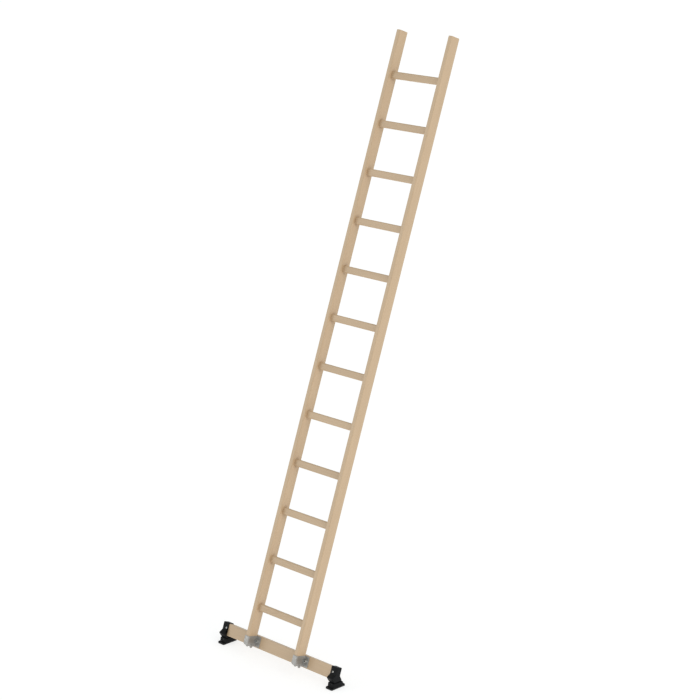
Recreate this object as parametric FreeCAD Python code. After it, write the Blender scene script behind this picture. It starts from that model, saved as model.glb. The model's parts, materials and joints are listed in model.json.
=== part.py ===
import FreeCAD, Part

import math
import os

from FreeCAD import Rotation, Vector

# A single-section wooden leaning ladder with a stabiliser crossbar.
#
# Millimetres, +Z up.  The ladder stands as it is used, with both soles flat on the floor
# at Z = 0.  X runs along the rungs, and the ladder leans back towards +Y.  The origin is
# on the floor, midway between the two soles and halfway along them.
#
# The wooden frame is drawn upright in a ladder frame of its own and then leaned:
#   x  along the rungs, 0 in the middle
#   w  depth, 0 on the stiles' front faces, growing away from the climber
#   v  along the stiles, 0 at the crossbar's top edge

# ---- Allowances of the drawing itself -------------------------------------------------
past = 1.0                  # how far a cutter runs past what it cuts
rooted = 0.5                # how far the shoe's neck and lugs reach into its plate
hollow_past = 0.5           # how far the neck's hollow runs past its rim
same_place = 0.01           # points nearer than this count as one

# ---- Stance ---------------------------------------------------------------------------
lean_deg = 20.0             # away from upright, so the stiles stand at 70 degrees

# ---- Wooden frame ---------------------------------------------------------------------
rung_count = 12
rung_spacing = 280.0
first_rung_height = 162.0   # crossbar's top edge to the lowest rung's centre
top_overhang = 254.0        # top rung's centre to the stiles' tops
clear_width = 364.0         # between the stiles
stile_width = 28.0          # across the ladder
stile_depth = 66.0          # front to back
stile_edge_radius = 5.0
stile_end_radius = 3.0
rung_height = 41.0
rung_depth = 24.0
rung_edge_radius = 7.0
tenon_height = 30.0
tenon_depth = 14.0
tenon_length = 21.0
joint_gap = 0.1             # glue line round and behind each tenon

# ---- Crossbar -------------------------------------------------------------------------
bar_length = 919.0
bar_height = 70.0
bar_thickness = 28.0
bar_edge_radius = 2.0

# ---- Stile brackets, folded sheet -----------------------------------------------------
sheet = 3.0
bracket_slip = 0.2          # between the bracket and the stile
bracket_bottom = 65.0       # below the crossbar's top edge
bracket_top_front = 10.0    # the leg's top edge slopes from this depth at the web ...
bracket_top_rear = 3.0      # ... up to this one at the flange
flange_width = 30.0
bend_radius = 4.0           # outside of the folds beside the web
crop_width = 30.0           # one lower corner is cropped: along the web,
crop_height = 12.0          # up its folded edge
crop_depth = 14.0           # and back along the leg
lug_radius = 10.5           # centred on the bracket's lower edge
stop_pin_radius = 4.0
stop_pin_head_radius = 5.5
stop_pin_head = 2.0
stop_pin_gap = 0.2          # under the stile's cut end

# ---- Bracket bolts --------------------------------------------------------------------
bolt_radius = 5.0
bolt_hole_clearance = 0.5
bolt_head_radius = 8.0
bolt_head_height = 10.0
bolt_socket_flats = 8.0
bolt_socket_depth = 5.0
bolt_tail = 2.0             # thread left showing past the nut
bolt_from_leg = 9.5         # bolt axis to the leg's outer face
bolt_depth = 31.5           # below the crossbar's top edge
washer_radius = 9.0
washer_thickness = 2.0
nut_flats = 16.0
nut_height = 8.4

# ---- Shoe holders ---------------------------------------------------------------------
holder_wall = 3.3
holder_slip = 0.2           # between the holder and the crossbar
holder_length = 45.0        # along the crossbar
holder_edge_radius = 2.0
nose_start = 41.0           # below the crossbar's top edge
nose_tip_depth = 64.0       # below the crossbar's top edge
nose_reach = 20.0           # corner in front of the holder's front wall, before rounding
nose_radius = 5.0
skirt_front = 28.8          # lower corners, in front of and behind the tilt pin
skirt_rear = 28.0
collar_gap = 1.8            # between the holder's collar and the inside of the shoe's neck
collar_wall = 2.2
collar_drop = 11.0          # below the holder's underside
collar_notch_side = 2.5     # room beside the shoe's lugs ...
collar_notch_rise = 3.0     # ... and above them
base_root = 1.0             # how far the collar and the fork reach into the holder's base
shoe_bolt_depth = 28.0      # below the crossbar's top edge
shoe_bolt_inset = 29.0      # from the holder's outer end
shoe_bolt_radius = 3.0
shoe_bolt_clearance = 0.3
shoe_bolt_head_radius = 6.0
shoe_bolt_head_height = 3.6
shoe_bolt_drive = 4.0
shoe_bolt_drive_depth = 1.8
shoe_nut_flats = 10.0
shoe_nut_height = 5.0
shoe_bolt_tail = 1.5

# ---- Two-way tilting joint ------------------------------------------------------------
running_fit = 0.05          # radial, pin in the tilt block
tilt_pin_radius = 3.5       # along X, lets the shoe follow the lean
roll_pin_radius = 2.5       # along Y, lets the shoe follow a side slope
pin_spacing = 7.5           # roll pin below tilt pin
roll_pin_height = 21.8      # above the floor
block_radius = 6.5
block_half_width = 9.0
roll_boss_radius = 4.8
roll_boss_half_length = 12.0
block_side_gap = 0.4
block_swing_gap = 0.8       # between the block's barrel and the holder above it
fork_thickness = 6.0

# ---- Shoes ----------------------------------------------------------------------------
sole_width = 50.0
sole_length = 104.0
sole_corner_radius = 6.0
pad_thickness = 5.0
plate_thickness = 5.5
pivot_back = 0.5            # tilt pin behind the sole's middle
neck_gap = 4.8              # holder's underside to the shoe's rim
neck_wall = 3.0
neck_half_width_top = 24.0
neck_half_width_base = 24.4
neck_front_top = 31.0       # rim and foot of the neck, in front of and behind the tilt pin
neck_front_base = 34.6
neck_rear_top = 31.6
neck_rear_base = 42.2
shoe_lug_thickness = 5.0
shoe_lug_wall = 3.0         # round the roll pin
tread_groove_width = 3.0
tread_groove_depth = 1.8
tread_groove_count = 7
sole_screw_radius = 2.0
sole_screw_head_radius = 4.0
sole_screw_head_height = 1.6
sole_screw_recess = 0.4
sole_screw_grip = 3.0       # length in the plate
sole_screw_x = 18.0
sole_screw_y = 42.0

# ---- Places worked out from the sizes -------------------------------------------------
lean = math.radians(lean_deg)
stile_centre = (clear_width + stile_width) / 2.0
stile_mid_depth = stile_depth / 2.0
stop_pin_depth = bracket_bottom
stile_bottom = stop_pin_depth - stop_pin_radius - stop_pin_gap
stile_top = first_rung_height + (rung_count - 1) * rung_spacing + top_overhang
bar_front = stile_depth
bar_back = bar_front + bar_thickness
leg_inner = stile_width / 2.0 + bracket_slip
leg_outer = leg_inner + sheet
flange_outer = leg_outer + flange_width
web_front = -bracket_slip - sheet
bolt_offset = leg_outer + bolt_from_leg

holder_outer = bar_length / 2.0 + holder_slip + holder_wall
holder_inner = holder_outer - holder_length
shoe_x = (holder_outer + holder_inner) / 2.0
holder_front = bar_front - holder_slip - holder_wall
holder_back = bar_back + holder_slip + holder_wall
holder_top = holder_slip + holder_wall
holder_bottom = bar_height + holder_slip + holder_wall

pivot_height = roll_pin_height + pin_spacing
holder_underside = pivot_height + block_radius + block_swing_gap
rim_height = holder_underside - neck_gap
plate_top = pad_thickness + plate_thickness
shoe_lug_radius = roll_pin_radius + shoe_lug_wall


def leaned(v, w):
    """Y and Z of a point of the ladder frame, before the frame is set down on its shoes."""
    return v * math.sin(lean) + w * math.cos(lean), v * math.cos(lean) - w * math.sin(lean)


# The tilt pin lies straight below the middle of the crossbar's section, and the holder's
# lowest corner is level with its underside.
middle_y, middle_z = leaned(-bar_height / 2.0, bar_front + bar_thickness / 2.0)
corner_y, corner_z = leaned(-holder_bottom, holder_back)
shift_y = pivot_back - middle_y
shift_z = holder_underside - corner_z


def placed(v, w):
    """Y and Z of a point of the ladder frame as the ladder stands."""
    y, z = leaned(v, w)
    return y + shift_y, z + shift_z


def stand(shape):
    """Lean a shape drawn in the ladder frame, and set it down on the shoes."""
    shape.rotate(Vector(0, 0, 0), Vector(1, 0, 0), -lean_deg)
    shape.translate(Vector(0, shift_y, shift_z))
    return shape


def block(x0, x1, w0, w1, v0, v1):
    """A box between two corners."""
    return Part.makeBox(x1 - x0, w1 - w0, v1 - v0, Vector(x0, w0, v0))


def rod(radius, start, end):
    """A round bar between two points."""
    return Part.makeCylinder(radius, (end - start).Length, start, end - start)


def hexagon(flats, start, height, axis):
    """A six-sided bar, flats across, that stands on start and runs along axis."""
    corner = flats / math.sqrt(3.0)
    points = []
    for i in range(7):
        turn = math.radians(60.0 * i)
        points.append(Vector(corner * math.cos(turn), corner * math.sin(turn), 0))
    solid = Part.Face(Part.makePolygon(points)).extrude(Vector(0, 0, height))
    solid.Placement = FreeCAD.Placement(start, Rotation(Vector(0, 0, 1), axis))
    return solid


def prism(points, x0, x1):
    """A side-view outline of (y, z) points, run from x0 to x1."""
    outline = [Vector(x0, y, z) for y, z in points]
    outline.append(outline[0])
    return Part.Face(Part.makePolygon(outline)).extrude(Vector(x1 - x0, 0, 0))


def corner_wedge(corner, x, y, z):
    """A four-sided wedge at a corner, with a leg along each axis."""
    tips = [corner, corner + Vector(x, 0, 0), corner + Vector(0, y, 0), corner + Vector(0, 0, z)]
    faces = []
    for skipped in range(4):
        ring = [tip for i, tip in enumerate(tips) if i != skipped]
        faces.append(Part.Face(Part.makePolygon(ring + ring[:1])))
    wedge = Part.Solid(Part.Shell(faces))
    if wedge.Volume < 0:
        wedge.reverse()
    return wedge


def fused(first, *others):
    """One clean solid out of several."""
    shape = first
    for other in others:
        shape = shape.fuse(other)
    return shape.removeSplitter()


def edges_along(shape, axis, keep=lambda edge: True):
    """The straight edges that run along an axis and pass a test."""
    found = []
    for edge in shape.Edges:
        run = edge.Vertexes[-1].Point - edge.Vertexes[0].Point
        if run.Length > 1e-6 and abs(run.normalize().dot(axis)) > 0.999 and keep(edge):
            found.append(edge)
    return found


def save(name, shapes):
    """Write one node, from one solid or a list of separate ones."""
    shape = shapes if isinstance(shapes, Part.Shape) else Part.makeCompound(shapes)
    shape.exportStep("parts/" + name + ".step")


ALONG_X = Vector(1, 0, 0)
ALONG_Y = Vector(0, 1, 0)
ALONG_Z = Vector(0, 0, 1)
TO_FRONT = Vector(0, -1, 0)
SIDES = {"left": -1.0, "right": 1.0}


# ---- Stiles and rungs -----------------------------------------------------------------
def rung_centre(i):
    return first_rung_height + i * rung_spacing


def make_stile(side):
    centre = side * stile_centre
    half = stile_width / 2.0
    stile = block(centre - half, centre + half, 0, stile_depth, -stile_bottom, stile_top)
    stile = stile.makeFillet(stile_edge_radius, edges_along(stile, ALONG_Z))
    top = [face for face in stile.Faces if face.CenterOfMass.z > stile_top - same_place][0]
    stile = stile.makeFillet(stile_end_radius, top.Edges)
    inner_face = side * clear_width / 2.0
    deep_end = inner_face + side * (tenon_length + joint_gap)
    x0 = min(inner_face, deep_end)
    x1 = max(inner_face, deep_end)
    half_depth = tenon_depth / 2.0 + joint_gap
    half_height = tenon_height / 2.0 + joint_gap
    for i in range(rung_count):
        v = rung_centre(i)
        mortise = block(x0, x1, stile_mid_depth - half_depth, stile_mid_depth + half_depth,
                        v - half_height, v + half_height)
        stile = stile.cut(mortise)
    return stand(stile)


def make_rung(i):
    v = rung_centre(i)
    half = clear_width / 2.0
    body = block(-half, half, stile_mid_depth - rung_depth / 2.0, stile_mid_depth + rung_depth / 2.0,
                 v - rung_height / 2.0, v + rung_height / 2.0)
    body = body.makeFillet(rung_edge_radius, edges_along(body, ALONG_X))
    reach = half + tenon_length
    tenons = block(-reach, reach, stile_mid_depth - tenon_depth / 2.0, stile_mid_depth + tenon_depth / 2.0,
                   v - tenon_height / 2.0, v + tenon_height / 2.0)
    return stand(fused(body, tenons))


# ---- Crossbar, brackets and their fasteners -------------------------------------------
def bracket_bolt_places():
    places = []
    for side in SIDES.values():
        for way in (-1.0, 1.0):
            places.append(side * stile_centre + way * bolt_offset)
    return places


def shoe_bolt_place(side):
    return side * (holder_outer - shoe_bolt_inset)


def make_crossbar():
    half = bar_length / 2.0
    bar = block(-half, half, bar_front, bar_back, -bar_height, 0)
    bar = bar.makeFillet(bar_edge_radius, edges_along(bar, ALONG_X))
    for x in bracket_bolt_places():
        hole = rod(bolt_radius + bolt_hole_clearance, Vector(x, bar_front - past, -bolt_depth),
                   Vector(x, bar_back + past, -bolt_depth))
        bar = bar.cut(hole)
    for side in SIDES.values():
        x = shoe_bolt_place(side)
        hole = rod(shoe_bolt_radius + shoe_bolt_clearance, Vector(x, bar_front - past, -shoe_bolt_depth),
                   Vector(x, bar_back + past, -shoe_bolt_depth))
        bar = bar.cut(hole)
    return stand(bar)


def make_bracket(side):
    """A hat section: web in front of the stile, a leg down each side, a flange on the bar."""
    centre = side * stile_centre
    outer = block(centre - leg_outer, centre + leg_outer, web_front, bar_front, -bracket_bottom, 0)
    front_edges = edges_along(outer, ALONG_Z, lambda edge: edge.CenterOfMass.y < web_front + sheet)
    outer = outer.makeFillet(bend_radius, front_edges)
    inner = block(centre - leg_inner, centre + leg_inner, -bracket_slip, bar_front + past,
                  -bracket_bottom - past, past)
    flange = block(centre - flange_outer, centre + flange_outer, bar_front - sheet, bar_front,
                   -bracket_bottom, 0)
    lug_y = stile_mid_depth
    lug = rod(lug_radius, Vector(centre - leg_outer, lug_y, -stop_pin_depth),
              Vector(centre + leg_outer, lug_y, -stop_pin_depth))
    inner_lug = block(centre - leg_inner, centre + leg_inner, lug_y - lug_radius - past,
                      lug_y + lug_radius + past, -stop_pin_depth - lug_radius - past, 0)
    bracket = fused(outer, flange, lug).cut(inner).cut(inner_lug)

    # The top edge slopes down towards the web.
    slope = [(web_front - past, past), (bar_front + past, past), (bar_front + past, -bracket_top_rear),
             (bar_front - sheet, -bracket_top_rear), (web_front, -bracket_top_front),
             (web_front - past, -bracket_top_front)]
    bracket = bracket.cut(prism(slope, centre - flange_outer - past, centre + flange_outer + past))

    # Both brackets are one pressing, so the cropped corner is on the same side of each.
    corner = Vector(centre - leg_outer, web_front, -bracket_bottom)
    bracket = bracket.cut(corner_wedge(corner, crop_width, crop_depth, crop_height))

    pin_hole = rod(stop_pin_radius, Vector(centre - leg_outer - past, lug_y, -stop_pin_depth),
                   Vector(centre + leg_outer + past, lug_y, -stop_pin_depth))
    bracket = bracket.cut(pin_hole)
    for way in (-1.0, 1.0):
        x = centre + way * bolt_offset
        hole = rod(bolt_radius + bolt_hole_clearance, Vector(x, bar_front - sheet - past, -bolt_depth),
                   Vector(x, bar_front + past, -bolt_depth))
        bracket = bracket.cut(hole)
    return stand(bracket.removeSplitter())


def make_stop_pin(side):
    """A rivet through both lugs, which the stile's cut end stands on."""
    centre = side * stile_centre
    left = Vector(centre - leg_outer, stile_mid_depth, -stop_pin_depth)
    right = Vector(centre + leg_outer, stile_mid_depth, -stop_pin_depth)
    head = Vector(stop_pin_head, 0, 0)
    shank = rod(stop_pin_radius, left, right)
    left_head = rod(stop_pin_head_radius, left - head, left)
    right_head = rod(stop_pin_head_radius, right, right + head)
    return stand(fused(shank, left_head, right_head))


def make_bracket_bolt(x):
    seat = bar_front - sheet - washer_thickness
    end = bar_back + washer_thickness + nut_height + bolt_tail
    shank = rod(bolt_radius, Vector(x, seat, -bolt_depth), Vector(x, end, -bolt_depth))
    head = rod(bolt_head_radius, Vector(x, seat - bolt_head_height, -bolt_depth),
               Vector(x, seat, -bolt_depth))
    socket = hexagon(bolt_socket_flats, Vector(x, seat - bolt_head_height + bolt_socket_depth, -bolt_depth),
                     bolt_socket_depth + past, TO_FRONT)
    return stand(fused(shank, head).cut(socket))


def make_washer(x, start):
    disc = rod(washer_radius, Vector(x, start, -bolt_depth),
               Vector(x, start + washer_thickness, -bolt_depth))
    hole = rod(bolt_radius + bolt_hole_clearance, Vector(x, start - past, -bolt_depth),
               Vector(x, start + washer_thickness + past, -bolt_depth))
    return stand(disc.cut(hole))


def make_nut(x, v, start, flats, height, thread_radius):
    """A hexagon nut with the corners of its outer end turned down at 45 degrees."""
    nut = hexagon(flats, Vector(x, start, v), height, ALONG_Y)
    across_flats = flats / 2.0
    cone = Part.makeCone(across_flats + height, across_flats, height, Vector(x, start, v), ALONG_Y)
    nut = nut.common(cone)
    hole = rod(thread_radius, Vector(x, start - past, v), Vector(x, start + height + past, v))
    return stand(nut.cut(hole))


# ---- Shoe holders ---------------------------------------------------------------------
def make_holder(side):
    """A cap over the crossbar's end, a nose and a skirt below it, and the tilt pin's fork."""
    x0 = min(side * holder_inner, side * holder_outer)
    x1 = max(side * holder_inner, side * holder_outer)
    cap = stand(block(x0, x1, holder_front, holder_back, -holder_bottom, holder_top))
    nose_tip = placed(-nose_tip_depth, holder_front - nose_reach)
    base = [placed(-nose_start, holder_front), nose_tip,
            (pivot_back - skirt_front, holder_underside), (pivot_back + skirt_rear, holder_underside),
            placed(-nose_start, holder_back)]
    lower = prism(base, x0, x1)
    tip_edge = edges_along(lower, ALONG_X,
                           lambda edge: math.hypot(edge.CenterOfMass.y - nose_tip[0],
                                                   edge.CenterOfMass.z - nose_tip[1]) < same_place)
    lower = lower.makeFillet(nose_radius, tip_edge)
    holder = fused(cap, lower)
    outer_face = side * holder_outer
    end_edges = [edge for edge in holder.Edges
                 if all(abs(vertex.X - outer_face) < same_place for vertex in edge.Vertexes)]
    holder = holder.makeFillet(holder_edge_radius, end_edges)

    pocket_end = side * (bar_length / 2.0 + holder_slip)
    pocket_mouth = side * (holder_inner - past)
    pocket = stand(block(min(pocket_end, pocket_mouth), max(pocket_end, pocket_mouth),
                         bar_front - holder_slip, bar_back + holder_slip,
                         -bar_height - holder_slip, holder_slip))
    holder = holder.cut(pocket)

    centre = side * shoe_x
    inner = block_half_width + block_side_gap
    for way in (-1.0, 1.0):
        a = centre + way * inner
        b = centre + way * (inner + fork_thickness)
        cheek = block(min(a, b), max(a, b), pivot_back - block_radius, pivot_back + block_radius,
                      pivot_height, holder_underside + base_root)
        eye = rod(block_radius, Vector(min(a, b), pivot_back, pivot_height),
                  Vector(max(a, b), pivot_back, pivot_height))
        holder = holder.fuse(cheek).fuse(eye)
    holder = holder.fuse(make_collar(centre))
    # The fork and the collar stop short of the pocket.
    holder = holder.cut(pocket).removeSplitter()
    reach = inner + fork_thickness
    pin_hole = rod(tilt_pin_radius, Vector(centre - reach - past, pivot_back, pivot_height),
                   Vector(centre + reach + past, pivot_back, pivot_height))
    holder = holder.cut(pin_hole)
    x = shoe_bolt_place(side)
    bolt_hole = stand(rod(shoe_bolt_radius + shoe_bolt_clearance,
                          Vector(x, holder_front - past, -shoe_bolt_depth),
                          Vector(x, holder_back + past, -shoe_bolt_depth)))
    return holder.cut(bolt_hole)


def make_collar(centre):
    """The four-sided collar under a holder, which reaches into the shoe's neck and hides the joint."""
    half = neck_half_width_top - neck_wall - collar_gap
    front = pivot_back - neck_front_top + neck_wall + collar_gap
    rear = pivot_back + neck_rear_top - neck_wall - collar_gap
    low = holder_underside - collar_drop
    high = holder_underside + base_root
    notch_half = shoe_lug_radius + collar_notch_side
    notch_top = roll_pin_height + shoe_lug_radius + collar_notch_rise
    collar = block(centre - half, centre + half, front, rear, low, high)
    hollow = block(centre - half + collar_wall, centre + half - collar_wall, front + collar_wall,
                   rear - collar_wall, low - past, holder_underside)
    notch = block(centre - notch_half, centre + notch_half, front - past, rear + past,
                  low - past, notch_top)
    return collar.cut(hollow).cut(notch)


def make_shoe_bolt(side):
    """A round-headed bolt through the holder and the crossbar."""
    x = shoe_bolt_place(side)
    end = holder_back + shoe_nut_height + shoe_bolt_tail
    shank = rod(shoe_bolt_radius, Vector(x, holder_front, -shoe_bolt_depth),
                Vector(x, end, -shoe_bolt_depth))
    head = shoe_bolt_head_height
    dome_radius = (head ** 2 + shoe_bolt_head_radius ** 2) / (2.0 * head)
    ball = Part.makeSphere(dome_radius, Vector(x, holder_front - head + dome_radius, -shoe_bolt_depth))
    keep = block(x - dome_radius, x + dome_radius, holder_front - head - past, holder_front,
                 -shoe_bolt_depth - dome_radius, -shoe_bolt_depth + dome_radius)
    dome = ball.common(keep)
    bottom = holder_front - head + shoe_bolt_drive_depth
    socket = hexagon(shoe_bolt_drive, Vector(x, bottom, -shoe_bolt_depth), shoe_bolt_drive_depth + past,
                     TO_FRONT)
    return stand(fused(shank, dome).cut(socket))


# ---- Tilting joint --------------------------------------------------------------------
def make_tilt_block(side):
    centre = side * shoe_x
    barrel = rod(block_radius, Vector(centre - block_half_width, pivot_back, pivot_height),
                 Vector(centre + block_half_width, pivot_back, pivot_height))
    boss = rod(roll_boss_radius, Vector(centre, pivot_back - roll_boss_half_length, roll_pin_height),
               Vector(centre, pivot_back + roll_boss_half_length, roll_pin_height))
    web = block(centre - roll_boss_radius, centre + roll_boss_radius, pivot_back - block_radius,
                pivot_back + block_radius, roll_pin_height, pivot_height)
    body = fused(barrel, boss, web)
    tilt_bore = rod(tilt_pin_radius + running_fit,
                    Vector(centre - block_half_width - past, pivot_back, pivot_height),
                    Vector(centre + block_half_width + past, pivot_back, pivot_height))
    roll_bore = rod(roll_pin_radius + running_fit,
                    Vector(centre, pivot_back - roll_boss_half_length - past, roll_pin_height),
                    Vector(centre, pivot_back + roll_boss_half_length + past, roll_pin_height))
    return body.cut(tilt_bore).cut(roll_bore)


def make_tilt_pin(side):
    centre = side * shoe_x
    reach = block_half_width + block_side_gap + fork_thickness
    return rod(tilt_pin_radius, Vector(centre - reach, pivot_back, pivot_height),
               Vector(centre + reach, pivot_back, pivot_height))


def roll_pin_ends():
    """Y of the roll pin's ends: in the shoe's front wall, and in its rear lug."""
    front = pivot_back - neck_front_top
    rear = pivot_back + roll_boss_half_length + block_side_gap + shoe_lug_thickness
    return front, rear


def make_roll_pin(side):
    front, rear = roll_pin_ends()
    centre = side * shoe_x
    return rod(roll_pin_radius, Vector(centre, front, roll_pin_height),
               Vector(centre, rear, roll_pin_height))


# ---- Shoes ----------------------------------------------------------------------------
def frustum(centre, low, high, half_low, half_high, ys_low, ys_high):
    """A four-sided block that tapers from its base to its top."""
    wires = []
    for z, half, ys in ((low, half_low, ys_low), (high, half_high, ys_high)):
        points = [Vector(centre - half, ys[0], z), Vector(centre + half, ys[0], z),
                  Vector(centre + half, ys[1], z), Vector(centre - half, ys[1], z),
                  Vector(centre - half, ys[0], z)]
        wires.append(Part.makePolygon(points))
    return Part.makeLoft(wires, True, True)


def sole_slab(centre, low, high):
    half = sole_width / 2.0
    slab = block(centre - half, centre + half, -sole_length / 2.0, sole_length / 2.0, low, high)
    return slab.makeFillet(sole_corner_radius, edges_along(slab, ALONG_Z))


def sole_screw_places(centre):
    places = []
    for x in (-sole_screw_x, sole_screw_x):
        for y in (-sole_screw_y, sole_screw_y):
            places.append((centre + x, y))
    return places


def make_shoe(side):
    """A plate with a hollow neck, which holds the roll pin in its front wall and a lug."""
    centre = side * shoe_x
    plate = sole_slab(centre, pad_thickness, plate_top)
    base = (pivot_back - neck_front_base, pivot_back + neck_rear_base)
    rim = (pivot_back - neck_front_top, pivot_back + neck_rear_top)
    neck = frustum(centre, plate_top - rooted, rim_height, neck_half_width_base, neck_half_width_top,
                   base, rim)
    inner_base = (base[0] + neck_wall, base[1] - neck_wall)
    inner_rim = (rim[0] + neck_wall, rim[1] - neck_wall)
    hollow = frustum(centre, plate_top, rim_height + hollow_past, neck_half_width_base - neck_wall,
                     neck_half_width_top - neck_wall, inner_base, inner_rim)
    shoe = fused(plate, neck).cut(hollow)

    near = pivot_back + roll_boss_half_length + block_side_gap
    spans = ((pivot_back - neck_front_top, pivot_back - roll_boss_half_length - block_side_gap),
             (near, near + shoe_lug_thickness))
    for start, end in spans:
        eye = rod(shoe_lug_radius, Vector(centre, start, roll_pin_height),
                  Vector(centre, end, roll_pin_height))
        post = block(centre - shoe_lug_radius, centre + shoe_lug_radius, start, end,
                     plate_top - rooted, roll_pin_height)
        shoe = shoe.fuse(eye).fuse(post)
    shoe = shoe.removeSplitter()
    rear = roll_pin_ends()[1]
    pin_hole = rod(roll_pin_radius, Vector(centre, pivot_back - neck_front_base - past, roll_pin_height),
                   Vector(centre, rear, roll_pin_height))
    shoe = shoe.cut(pin_hole)
    for x, y in sole_screw_places(centre):
        shoe = shoe.cut(rod(sole_screw_radius, Vector(x, y, pad_thickness - past),
                            Vector(x, y, pad_thickness + sole_screw_grip)))
    return shoe


def make_sole_pad(side):
    """A rubber pad with grooves across its underside and sunk holes for its screws."""
    centre = side * shoe_x
    pad = sole_slab(centre, 0, pad_thickness)
    pitch = sole_length / (tread_groove_count + 1)
    for i in range(tread_groove_count):
        y = -sole_length / 2.0 + pitch * (i + 1)
        groove = block(centre - sole_width, centre + sole_width, y - tread_groove_width / 2.0,
                       y + tread_groove_width / 2.0, -past, tread_groove_depth)
        pad = pad.cut(groove)
    for x, y in sole_screw_places(centre):
        sunk = sole_screw_recess + sole_screw_head_height
        pad = pad.cut(rod(sole_screw_head_radius, Vector(x, y, -past), Vector(x, y, sunk)))
        pad = pad.cut(rod(sole_screw_radius, Vector(x, y, 0), Vector(x, y, pad_thickness + past)))
    return pad


def make_sole_screws(side):
    screws = []
    for x, y in sole_screw_places(side * shoe_x):
        sunk = sole_screw_recess + sole_screw_head_height
        head = rod(sole_screw_head_radius, Vector(x, y, sole_screw_recess), Vector(x, y, sunk))
        shank = rod(sole_screw_radius, Vector(x, y, sunk), Vector(x, y, pad_thickness + sole_screw_grip))
        screws.append(fused(head, shank))
    return screws


# ---- Write every node -----------------------------------------------------------------
def main():
    os.makedirs("parts", exist_ok=True)
    for i in range(rung_count):
        save("rung_%02d" % (i + 1), make_rung(i))
    save("crossbar", make_crossbar())
    for name, side in SIDES.items():
        save("stile_" + name, make_stile(side))
        save("bracket_" + name, make_bracket(side))
        save("stop_pin_" + name, make_stop_pin(side))
        save("shoe_holder_" + name, make_holder(side))
        save("tilt_block_" + name, make_tilt_block(side))
        save("tilt_pin_" + name, make_tilt_pin(side))
        save("roll_pin_" + name, make_roll_pin(side))
        save("shoe_" + name, make_shoe(side))
        save("sole_pad_" + name, make_sole_pad(side))
        save("sole_screws_" + name, make_sole_screws(side))

    places = bracket_bolt_places()
    save("bracket_bolts", [make_bracket_bolt(x) for x in places])
    starts = (bar_front - sheet - washer_thickness, bar_back)
    save("bracket_washers", [make_washer(x, start) for x in places for start in starts])
    nut_start = bar_back + washer_thickness
    save("bracket_nuts", [make_nut(x, -bolt_depth, nut_start, nut_flats, nut_height, bolt_radius)
                          for x in places])
    save("shoe_bolts", [make_shoe_bolt(side) for side in SIDES.values()])
    save("shoe_nuts", [make_nut(shoe_bolt_place(side), -shoe_bolt_depth, holder_back, shoe_nut_flats,
                                shoe_nut_height, shoe_bolt_radius) for side in SIDES.values()])


main()
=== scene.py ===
import json
import math
from collections import namedtuple

import bmesh
import bpy
from bpy.props import FloatProperty, FloatVectorProperty, IntProperty, PointerProperty
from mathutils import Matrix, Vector


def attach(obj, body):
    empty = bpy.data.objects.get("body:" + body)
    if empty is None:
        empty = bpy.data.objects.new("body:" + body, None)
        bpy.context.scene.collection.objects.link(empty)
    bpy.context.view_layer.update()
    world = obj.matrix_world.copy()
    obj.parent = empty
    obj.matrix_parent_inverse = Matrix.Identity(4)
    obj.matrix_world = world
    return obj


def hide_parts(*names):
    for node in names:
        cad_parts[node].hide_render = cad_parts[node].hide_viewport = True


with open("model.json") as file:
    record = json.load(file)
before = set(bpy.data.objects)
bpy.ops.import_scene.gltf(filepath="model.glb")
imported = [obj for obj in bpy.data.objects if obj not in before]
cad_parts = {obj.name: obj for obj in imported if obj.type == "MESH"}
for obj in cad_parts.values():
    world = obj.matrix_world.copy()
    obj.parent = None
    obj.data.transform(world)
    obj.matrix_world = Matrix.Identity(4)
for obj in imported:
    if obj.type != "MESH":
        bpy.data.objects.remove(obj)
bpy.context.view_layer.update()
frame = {"nodes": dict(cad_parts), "record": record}

bl_info = {
    "name": "Wooden leaning ladder",
    "version": (1, 0, 0),
    "blender": (4, 5, 0),
    "location": "3D View > Sidebar > Ladder",
    "description": "Finishes a wooden leaning ladder with a stabiliser crossbar and tilting shoes",
    "category": "Object",
}

SIDES = ("left", "right")
MM = 0.001
SAME_POINT = 0.001 * MM      # a node's loose triangles are joined within this


# ---- Where things are ------------------------------------------------------------------
def mount(name):
    """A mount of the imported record, by name."""
    return next(m for m in frame["record"]["mounts"] if m["name"] == name)


# The stiles' backs face level ground at this angle, so it is the ladder's lean.
back_normal = mount("stile_back_left")["axis"]
LEAN = math.atan2(-back_normal[2], back_normal[1])
DEPTHWARDS = Vector((0, math.cos(LEAN), -math.sin(LEAN)))
UPWARDS = Vector((0, math.sin(LEAN), math.cos(LEAN)))


def ladder_point(co):
    """A row-frame point as x along the rungs, depth from the climber, height up the stiles."""
    co = Vector(co)
    return Vector((co.x, co.dot(DEPTHWARDS), co.dot(UPWARDS)))


def row_point(across, depth, height):
    """Back from the ladder's own directions to the row frame."""
    return Vector((across, 0, 0)) + DEPTHWARDS * depth + UPWARDS * height


def spans(points):
    """Lowest and highest corner of some points."""
    low = Vector(min(p[i] for p in points) for i in range(3))
    high = Vector(max(p[i] for p in points) for i in range(3))
    return low, high


def ladder_box(node):
    """A node's box along the ladder's own directions."""
    return spans([ladder_point(v.co) for v in frame["nodes"][node].data.vertices])


def merged_copy(node):
    """A bmesh of a node's surface with its loose triangles joined up."""
    work = bmesh.new()
    work.from_mesh(frame["nodes"][node].data)
    bmesh.ops.remove_doubles(work, verts=work.verts, dist=SAME_POINT)
    return work


def separate_solids(node):
    """Lists of points in the row frame, one for each separate solid of a node."""
    work = merged_copy(node)
    left = dict.fromkeys(work.verts)     # in their own order, so that each run is the same
    groups = []
    while left:
        front = [next(iter(left))]
        del left[front[0]]
        group = []
        while front:
            vert = front.pop()
            group.append(vert.co.copy())
            for edge in vert.link_edges:
                other = edge.other_vert(vert)
                if other in left:
                    del left[other]
                    front.append(other)
        groups.append(group)
    work.free()
    return groups


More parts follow.
